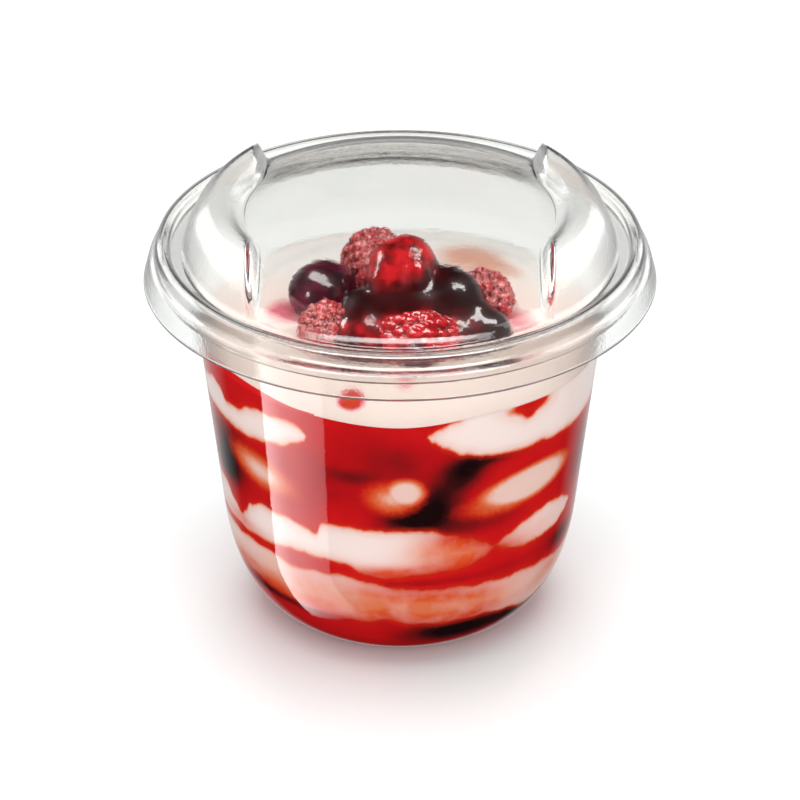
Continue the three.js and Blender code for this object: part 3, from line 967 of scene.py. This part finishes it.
def cream_colour(add, smears, depth_share):
    """Cream that is stained orange at its edges and in patches."""
    clean = add("ValToRGB", {"Fac": depth_share}, stops=CREAM_BY_DEPTH)
    stained = add("ValToRGB", {"Fac": depth_share}, stops=STAINED_BY_DEPTH)
    stain = add("Attribute", output="Fac", attribute_name="stain_share")
    patchy = add("Math", {0: smears, 1: 1.1, 2: 0.35}, operation="MULTIPLY_ADD")
    stain = add("Math", {0: stain, 1: patchy}, operation="MULTIPLY", use_clamp=True)
    colour = add("Mix", {0: stain, 6: clean, 7: stained}, **OF_COLOURS)
    pale = add("Attribute", output="Fac", attribute_name="pale_share")
    return add("Mix", {0: pale, 6: colour, 7: linear(PALE_CREAM)}, **OF_COLOURS)


def swirl_material():
    material, add, place = new_material("cream and fruit sauce, pressed against the wall")
    smears, rags, clouds = (
        add("TexNoise", {"Vector": place, "Scale": per_metre(size), "Detail": detail})
        for size, detail in ((SMEARS, 3), (RAGS, 3), (CLOUDS, 4))
    )
    depth = swirl_depth(add, smears, rags)
    depth_share = add("MapRange", {"Value": depth, "From Min": -EDGE_REACH, "From Max": EDGE_REACH})
    in_cream = add("MapRange", {"Value": depth, "From Min": -0.16, "From Max": 0.06})
    sides = {6: sauce_colour(add, rags, clouds, depth_share), 7: cream_colour(add, smears, depth_share)}
    colour = add("Mix", {0: in_cream, **sides}, **OF_COLOURS)
    wet = add("BsdfPrincipled", {"Base Color": colour, "Roughness": 0.6, "Specular IOR Level": 0.1})
    add("OutputMaterial", {"Surface": wet})
    return material


dress(filling, swirl_material())

# %% [markdown]
# The cream's surface is whipped and wet: soft, nearly white, with a faint pink cast, and stained pink
# where juice from the fruit has soaked in. Its back half is painted lighter, a painted highlight for
# light that falls on it from behind.

# %% Whipped cream
JUICE_SPREAD = 4
CREAM_LUMPS = 1.4
# The first colour is a painted highlight that lightens the back of the cream.
BACKLIT_CREAM_PAINTED, PEACH_CREAM = "#fffbf6", "#e09a7c"
CREAM_BY_JUICE = [(0.0, "#f4e2da"), (0.4, "#eeb4b2"), (0.75, "#e06478"), (1.0, "#cc4024")]


def cream_material():
    material, add, place = new_material("whipped cream, piped and levelled")
    spread = add("TexNoise", {"Vector": place, "Scale": per_metre(JUICE_SPREAD), "Detail": 3.0})
    bleed = add("Attribute", output="Fac", attribute_name="juice_share")
    juice = add("Math", {0: spread, 1: 0.5, 2: bleed}, operation="MULTIPLY_ADD")
    juice = add("MapRange", {"Value": juice, "From Min": 0.45, "From Max": 1.2})
    colour = add("ValToRGB", {"Fac": juice}, stops=CREAM_BY_JUICE)
    # Painted highlight: the back of the cream is mixed towards a lighter colour.
    painted_backlight = add("Attribute", output="Fac", attribute_name="painted_backlight_share")
    colour = add("Mix", {0: painted_backlight, 6: colour, 7: linear(BACKLIT_CREAM_PAINTED)}, **OF_COLOURS)
    peach = add("Attribute", output="Fac", attribute_name="peach_share")
    colour = add("Mix", {0: peach, 6: colour, 7: linear(PEACH_CREAM)}, **OF_COLOURS)
    lumps = add("TexNoise", {"Vector": place, "Scale": per_metre(CREAM_LUMPS), "Detail": 3.0})
    lumpy = add("Bump", {"Height": lumps, "Strength": 0.5, "Distance": 0.15 * MM})
    wet = add("BsdfPrincipled", {
        "Base Color": colour,
        "Roughness": 0.32,
        "Coat Weight": 0.25,
        "Coat Roughness": 0.15,
        "Normal": lumpy,
    })
    add("OutputMaterial", {"Surface": wet})
    return material


dress(cream, cream_material())

# %% [markdown]
# The raspberries were frozen. Those that the sauce missed are frosty: pale grains sit on every bead.
# Those under sauce or glaze are a clear bright red with small sharp sparkles. On both, the valleys
# between beads are darkened: painted shade.

# %% Frosty and glazed raspberries
# Each ramp runs from painted shade in the valleys between beads to lighter bead tops.
FROSTY_SKIN_AND_SHADE = [(0.28, "#4a060c"), (0.48, "#a8121c"), (0.66, "#cc2832"), (0.9, "#dc565a")]
ICE = "#f0bcb6"
GLAZED_SKIN_AND_SHADE = [(0.25, "#4c0408"), (0.45, "#a80c14"), (0.65, "#c8141e"), (0.9, "#d8303a")]
FROST_GRAINS = 0.5
FROST_PATCHES = 3.5
RIPE_PATCHES = 5
FLESH_GRAINS = 1.1
GLAZE_WAVES = 0.8


def bead_colour_with_painted_shade(add, place, grains, stops):
    """Valleys darkened as painted shade and bead tops lighter, both by bead height, mottled, with pale
    grains on top.
    """
    height = add("Attribute", output="Fac", attribute_name="bead_height")
    ripeness = add("TexNoise", {"Vector": place, "Scale": per_metre(RIPE_PATCHES)})
    base = add("Math", {0: height, 1: 0.34, 2: -0.2}, operation="MULTIPLY_ADD")
    mottled = add("Math", {0: ripeness, 1: 0.3, 2: base}, operation="MULTIPLY_ADD")
    total = add("Math", {0: grains, 1: 0.75, 2: mottled}, operation="MULTIPLY_ADD")
    return add("ValToRGB", {"Fac": total}, stops=stops)


def frosty_raspberry():
    """Ice crystals sit on the beads in drifts of coarse white grains."""
    material, add, place = new_material("raspberry, frozen")
    grains = add(
        "TexNoise",
        {"Vector": place, "Scale": per_metre(FROST_GRAINS), "Detail": 2.0, "Roughness": 0.7},
    )
    drifts = add("TexNoise", {"Vector": place, "Scale": per_metre(FROST_PATCHES)})
    drifted = add("Math", {0: drifts, 1: 0.45, 2: -0.22}, operation="MULTIPLY_ADD")
    ice = add("Math", {0: grains, 1: drifted}, operation="ADD")
    ice = add("MapRange", {"Value": ice, "From Min": 0.5, "From Max": 0.64, "To Max": 0.62})
    flesh = bead_colour_with_painted_shade(add, place, grains, FROSTY_SKIN_AND_SHADE)
    colour = add("Mix", {0: ice, 6: flesh, 7: linear(ICE)}, **OF_COLOURS)
    skin = add("BsdfPrincipled", {
        "Base Color": colour,
        "Roughness": 0.35,
        "Normal": add("Bump", {"Height": grains, "Strength": 0.9, "Distance": 0.22 * MM}),
        "Subsurface Weight": 0.1,
        "Subsurface Scale": 0.8 * MM,
        "Subsurface Radius": (1.0, 0.25, 0.2),
        "Coat Weight": 0.4,
        "Coat Roughness": 0.15,
    })
    add("OutputMaterial", {"Surface": skin})
    return material


def glazed_raspberry():
    material, add, place = new_material("raspberry, glazed")
    flesh = add("TexNoise", {"Vector": place, "Scale": per_metre(FLESH_GRAINS), "Detail": 3.0})
    uneven = add("TexNoise", {"Vector": place, "Scale": per_metre(GLAZE_WAVES)})
    ripple = add("Bump", {"Height": uneven, "Strength": 0.6, "Distance": 0.22 * MM})
    skin = add("BsdfPrincipled", {
        "Base Color": bead_colour_with_painted_shade(add, place, flesh, GLAZED_SKIN_AND_SHADE),
        "Roughness": 0.22,
        "Coat Weight": 1.0,
        "Coat Roughness": 0.04,
        "Coat IOR": 1.5,
        "Normal": ripple,
        "Coat Normal": ripple,
        "Subsurface Weight": 0.15,
        "Subsurface Scale": 1.2 * MM,
        "Subsurface Radius": (1.0, 0.2, 0.15),
    })
    add("OutputMaterial", {"Surface": skin})
    return material


frosty, glazed = frosty_raspberry(), glazed_raspberry()

# %% [markdown]
# The dark berries and the poured sauce are nearly black, so their gloss does most of the work: a
# clear coat of sugar glaze gives one sharp bright reflection of each lamp. Along the sauce's rims a
# pale lilac sheen is painted into the colour: a painted reflection.

# %% Glazed dark berry and poured sauce
BERRY_BY_DEPTH = [(0.3, "#10020a"), (0.5, "#360a18"), (0.7, "#6a1a30")]
SAUCE_BY_THINNESS = [
    (0.0, "#260306"), (0.3, "#440508"), (0.5, "#7c0a10"), (0.75, "#b80e16"), (1.0, "#d81820"),
]
# Pale lilac painted reflection along the sauce's rims.
RIM_PAINTED_SHEEN = "#7a4654"
BERRY_PATCHES = 5
BEAD_LUMPS, FINE_LUMPS = 3.4, 1.6


def glaze(add, colour, ripple, depth):
    """Ends a material as a clear sugar coat over a deep colour, rippled by some millimetres."""
    bump = add("Bump", {"Height": ripple, "Strength": 0.6, "Distance": depth * MM})
    skin = add("BsdfPrincipled", {
        "Base Color": colour,
        "Roughness": 0.35,
        "Specular IOR Level": 0.2,
        "Coat Weight": 1.0,
        "Coat Roughness": 0.03,
        "Coat IOR": 1.5,
        "Coat Normal": bump,
    })
    add("OutputMaterial", {"Surface": skin})


def dark_berry_material():
    material, add, place = new_material("dark berry, sugar glazed")
    depth = add("TexNoise", {"Vector": place, "Scale": per_metre(BERRY_PATCHES)})
    colour = add("ValToRGB", {"Fac": depth}, stops=BERRY_BY_DEPTH)
    glaze(add, colour, depth, 0.3)
    return material


def sauce_material():
    """Thin glaze lets the lumps of the raspberry under it shine through."""
    material, add, place = new_material("fruit sauce, poured")
    thin = add("Attribute", output="Fac", attribute_name="thin_share")
    lumps = add("TexVoronoi", {"Vector": place, "Scale": per_metre(BEAD_LUMPS)}, feature="SMOOTH_F1")
    fine = add("TexNoise", {"Vector": place, "Scale": per_metre(FINE_LUMPS), "Detail": 3.0})
    patchy = add("Math", {0: lumps, 1: -1.2, 2: 0.72}, operation="MULTIPLY_ADD")
    patchy = add("Math", {0: fine, 1: 0.9, 2: patchy}, operation="MULTIPLY_ADD")
    thin = add("Math", {0: thin, 1: patchy}, operation="MULTIPLY")
    colour = add("ValToRGB", {"Fac": thin}, stops=SAUCE_BY_THINNESS)
    # Painted reflection: a pale lilac sheen is mixed in along the rims.
    rim = add("Attribute", output="Fac", attribute_name="rim_sheen_share")
    rim = add("Math", {0: rim, 1: 0.6}, operation="MULTIPLY")
    colour = add("Mix", {0: rim, 6: colour, 7: linear(RIM_PAINTED_SHEEN)}, **OF_COLOURS)
    raised = add("Math", {0: lumps, 1: thin}, operation="MULTIPLY")
    glaze(add, colour, raised, -0.9)
    return material


berry_skin = dark_berry_material()
dress(sauce, sauce_material())
for name, berry in berries.items():
    if name.startswith("dark"):
        dress(berry, berry_skin)
    else:
        dress(berry, glazed if RASPBERRIES[name][4] else frosty)

# %% [markdown]
# The set is a white table under a softbox. Two fill lamps in front light the side of the cup. They,
# and the table, are kept out of reflections, as a photographer does with black card, because a pale
# veil on the clear plastic would hide the food. Further lamps are seen only in reflections: a bar and
# a window on the berries, two on the sauce, panels on the lid, and the tall strip on the cup's wall.

# %% Light the set
ROOM_BY_HEIGHT = [
    (0.0, "#181818"), (0.47, "#242424"), (0.53, "#bcbcbc"), (0.62, "#8c8c8c"), (1.0, "#6c6c6c"),
]
DARK_CEILING, WHITE_TABLE, ROOM_ELSEWHERE = "#0c0c0c", "#c8c8c8", "#d8d8d8"


def make_sky():
    """Sharp reflections show a room with light walls, a dark strip of ceiling from the back to the
    front, which the lid's panel mirrors, and a white table far behind. Other rays meet a white room."""
    world = bpy.data.worlds.new("studio")
    add = empty_tree(world)
    way = add("TexCoord", output="Generated")
    x, y, z = (add("SeparateXYZ", {0: way}, output=axis) for axis in "XYZ")
    height = add("MapRange", {"Value": z, "From Min": -1.0, "From Max": 1.0})
    colour = add("ValToRGB", {"Fac": height}, stops=ROOM_BY_HEIGHT)
    behind = add("MapRange", {"Value": y, "From Min": 0.5, "From Max": 0.8})
    below = add("MapRange", {"Value": z, "From Min": 0.04, "From Max": -0.04})
    table = add("Math", {0: behind, 1: below}, operation="MULTIPLY")
    aside = add("Math", {0: x}, operation="ABSOLUTE")
    middle = add("MapRange", {"Value": aside, "From Min": 0.55, "From Max": 0.3})
    above = add("MapRange", {"Value": z, "From Min": 0.12, "From Max": 0.3})
    ceiling = add("Math", {0: middle, 1: above}, operation="MULTIPLY")
    for share, other in ((table, WHITE_TABLE), (ceiling, DARK_CEILING)):
        colour = add("Mix", {0: share, 6: colour, 7: linear(other)}, **OF_COLOURS)
    sides = {6: linear(ROOM_ELSEWHERE), 7: colour}
    reflected = add("LightPath", output="Is Glossy Ray")
    colour = add("Mix", {0: reflected, **sides}, **OF_COLOURS)
    add("OutputWorld", {"Surface": add("Background", {"Color": colour})})
    scene.world = world


def add_softbox(name, place, target, size, radiance, use, only=(), fade=None):
    """A rectangular lamp that faces its target, with a given brightness of its face. It either lights
    surfaces or shows in reflections, and it can reach only some pieces and fade across its face."""
    data = bpy.data.lights.new(name, "AREA")
    data.shape = "RECTANGLE"
    data.size, data.size_y = (side * MM for side in size)
    data.energy = radiance * pi * data.size * data.size_y
    if fade:
        add = empty_tree(data)
        face = add("NewGeometry", output="Parametric")
        across, along = (add("SeparateXYZ", {0: face}, output=axis) for axis in "XY")
        colour = add("ValToRGB", {"Fac": across}, stops=fade)
        from_middle = add("Math", {0: along, 1: 0.5}, operation="SUBTRACT")
        from_middle = add("Math", {0: from_middle}, operation="ABSOLUTE")
        strength = add("MapRange", {"Value": from_middle, "From Min": 0.5, "From Max": 0.3})
        glow = add("Emission", {"Color": colour, "Strength": strength})
        add("OutputLight", {"Surface": glow})
    lamp = bpy.data.objects.new(name, data)
    lamp.location = Vector(place) * MM
    lamp.rotation_euler = (Vector(target) - Vector(place)).to_track_quat("-Z", "Y").to_euler()
    lamp.visible_camera = False
    lamp.visible_glossy = use == "reflections"
    lamp.visible_diffuse = use == "surfaces"
    scene.collection.objects.link(lamp)
    if only:
        lit = bpy.data.collections.new(name + " lights these")
        for piece in only:
            lit.objects.link(piece)
        lamp.light_linking.receiver_collection = lit


make_sky()
# The food's own reflections skip the plastic, which would hide the lamps that are made for them
lid.visible_glossy = False
cup.visible_glossy = False
# The white table would turn pink beside the cup, so most of the filling's red light is kept off it
filling.visible_diffuse = False

fruit = list(berries.values())
# Name, place, what it faces, size and brightness of each lamp
for lamp in (
    ("overhead softbox", (0, -60, 760), (0, 0, 60), (620, 420), 3.7),
    ("left fill", (-520, -620, 260), (0, 0, 40), (500, 500), 2.1),
    ("right fill", (520, -620, 260), (0, 0, 40), (500, 500), 2.1),
):
    add_softbox(*lamp, "surfaces")
# The same, with the pieces that mirror the lamp
for *lamp, mirrors in (
    ("bar seen in the berries", (-60, -60, 560), (0, 0, 66), (760, 220), 11, fruit),
    ("window seen in the berries", (-420, -420, 300), (0, 0, 66), (110, 90), 14, fruit),
    ("left lamp seen in the sauce", (-370, 140, 390), (0, 0, 66), (230, 150), 14, [sauce]),
    ("right lamp seen in the sauce", (240, 90, 480), (0, 0, 66), (150, 260), 14, [sauce]),
    ("left panel seen in the lid", (-700, 0, 420), (0, 0, 70), (900, 420), 2.2, [lid, cup]),
    ("right panel seen in the lid", (700, 0, 420), (0, 0, 70), (900, 420), 2.2, [lid, cup]),
    ("front panel seen in the lid", (0, -660, 430), (0, 0, 70), (1100, 150), 6, [lid]),
    ("white below the lid", (0, 0, -900), (0, 0, 70), (3000, 3000), 0.7, [lid]),
):
    add_softbox(*lamp, "reflections", mirrors)
STRIP_FADE = [(0.0, "#ffffff"), (0.35, "#c8c8c8"), (1.0, "#8c8c8c")]
strip = ("strip seen in the wall", (-550, -180, -600), (0, 0, 30), (500, 620), 5)
add_softbox(*strip, "reflections", [cup], STRIP_FADE)
print("lamps:", len(bpy.data.lights))
scene.view_settings.view_transform = "Standard"
scene.cycles.max_bounces = 24
scene.cycles.transmission_bounces = 24
scene.cycles.transparent_max_bounces = 32

# %% [markdown]
# The table is white acrylic with a satin face, which keeps a faint image of what stands on it. A lamp
# of its own lifts the background to pure white.

# %% Lay the table
TABLE_SIZE = 6000
TABLE_COLOUR = "#f2f6f6"


def make_table():
    bpy.ops.mesh.primitive_plane_add(size=TABLE_SIZE * MM, location=(0, 0, 0))
    table = bpy.context.object
    table.name = "floor"
    material, add, place = new_material("white acrylic, satin")
    satin = add(
        "BsdfPrincipled",
        {"Base Color": linear(TABLE_COLOUR), "Roughness": 0.14, "Specular IOR Level": 0.3},
    )
    add("OutputMaterial", {"Surface": satin})
    dress(table, material)
    table.visible_glossy = False
    return table


floor = make_table()
add_softbox("background lamp", (0, 900, 900), (0, 160, 0), (900, 500), 4, "surfaces", [floor])

# %% [markdown]
# The camera stands where the photographer's did: 30 degrees above the horizon, on the cup's own
# middle, with a long lens that keeps the sides nearly parallel.

# %% Place the camera
LENS, SENSOR = 161.3, 36
CAMERA_PLACE, CAMERA_AIM = (0, -605, 394.3), (0, 0, 42.21)

camera_data = bpy.data.cameras.new("camera")
camera_data.lens = LENS
camera_data.sensor_width = SENSOR
camera = bpy.data.objects.new("camera", camera_data)
scene.collection.objects.link(camera)
camera.location = Vector(CAMERA_PLACE) * MM
view = Vector(CAMERA_AIM) * MM - camera.location
camera.rotation_euler = view.to_track_quat("-Z", "Y").to_euler()
scene.camera = camera
print("camera distance in metres:", round(view.length, 3))

# %% [markdown]
# The whole object is one body. Each piece rides on it and takes the place of the CAD nodes that it
# dresses: the filling stands for all the layers of cream and sauce, because the real ones are one
# mass pressed against the wall.

# %% Join the pieces to the frame
LAYERS = (
    "bottom_sauce", "peach_cream", "lower_sauce", "middle_cream", "middle_sauce", "upper_cream_left",
    "upper_cream_right", "cream_fold_left", "cream_fold_centre", "cream_fold_right", "cream_fold_back",
)

for piece, nodes, slot in (
    (cup, ("cup",), "clear_plastic"),
    (lid, ("lid",), "clear_plastic"),
    (filling, LAYERS, "red_sauce"),
    (cream, ("top_cream",), "cream"),
    (sauce, ("fruit_sauce",), "dark_sauce"),
):
    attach(piece, "root")
    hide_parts(*nodes)
for name, berry in berries.items():
    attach(berry, "root")
    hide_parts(name)
